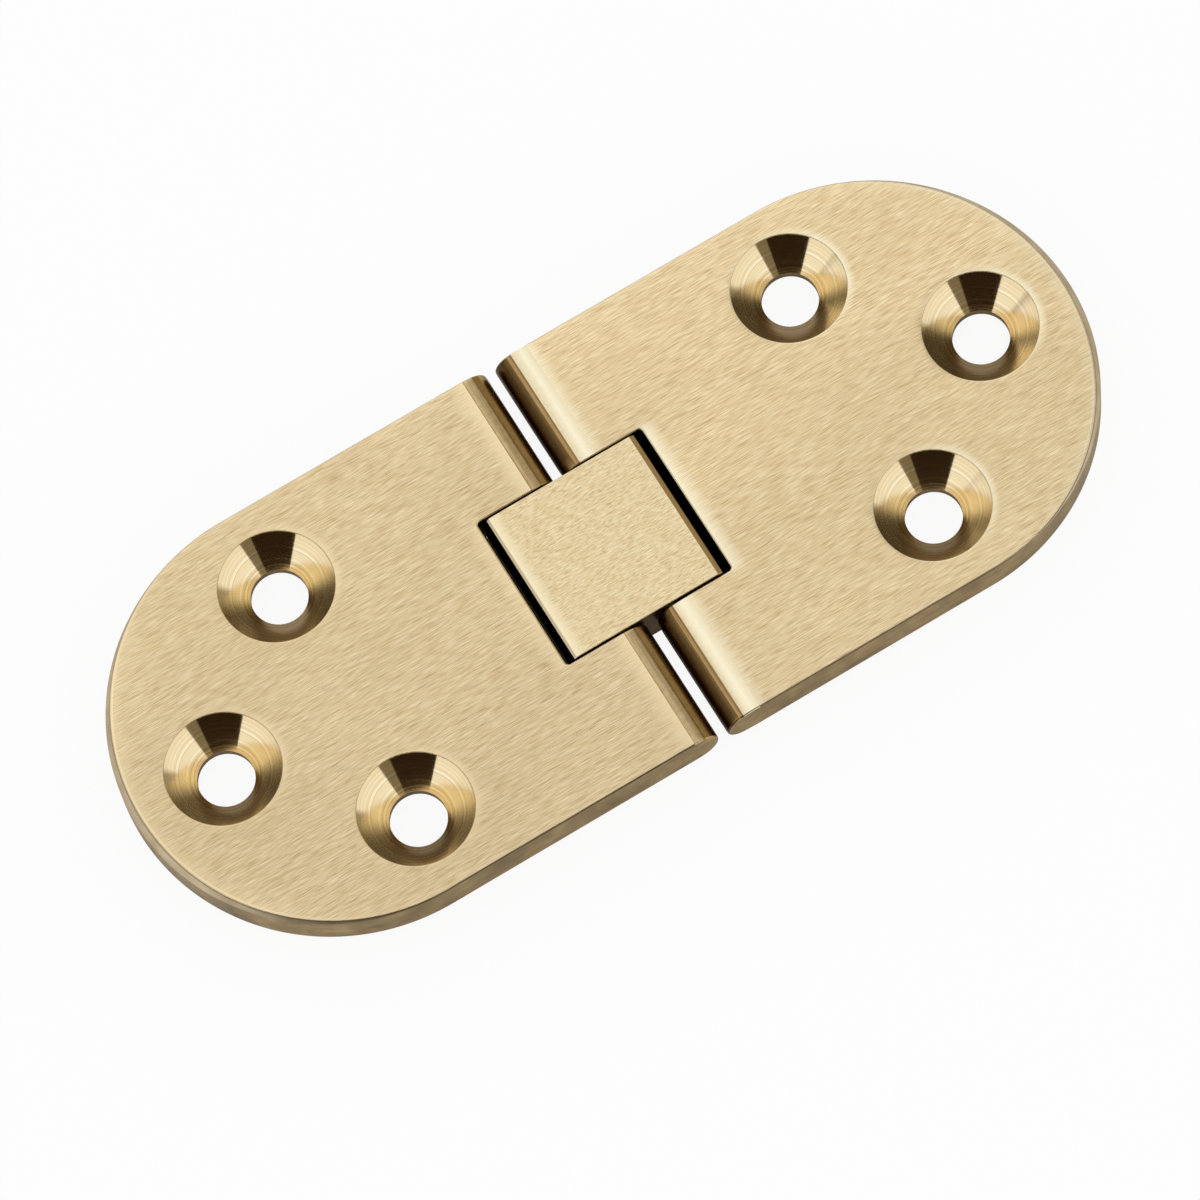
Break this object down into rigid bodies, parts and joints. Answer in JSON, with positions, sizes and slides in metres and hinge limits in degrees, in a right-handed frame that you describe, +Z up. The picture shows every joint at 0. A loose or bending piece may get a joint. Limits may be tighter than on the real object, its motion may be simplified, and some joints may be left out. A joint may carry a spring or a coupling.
{
  "type": "double pivot back flap hinge",
  "caption": "Flat, round-ended flap hinge: two countersunk leaves joined by a square link on two hidden pins, so that it folds back on itself.",
  "frame": {"origin": "bottom centre of the bounding box of the open hinge: under the middle of the link, on the surface that it rests on", "axes": "+X along the open hinge from the left leaf to the right one, +Y across it towards the side that the pins go in from, +Z up out of the faces that show"},
  "size_m": [0.076, 0.032, 0.0042],
  "materials": {
    "leaf_brass": "satin, brushed along the hinge, with turned countersinks",
    "link_brass": "satin with a coarser grain",
    "pin_steel": "ground, dressed flush"
  },
  "bodies": {
    "left_leaf": {"leaf_left": "leaf_brass", "pin_left": "pin_steel"},
    "link": {"link": "link_brass"},
    "right_leaf": {"leaf_right": "leaf_brass", "pin_right": "pin_steel"}
  },
  "joints": [
    {"name": "left_pivot", "type": "hinge", "parent": "left_leaf", "child": "link", "pos_m": [-0.00195, 0, 0.0026], "axis": [0, -1, 0], "range_deg": [0, 90]},
    {"name": "right_pivot", "type": "hinge", "parent": "link", "child": "right_leaf", "pos_m": [0.00195, 0, 0.0026], "axis": [0, -1, 0], "range_deg": [0, 90]}
  ]
}
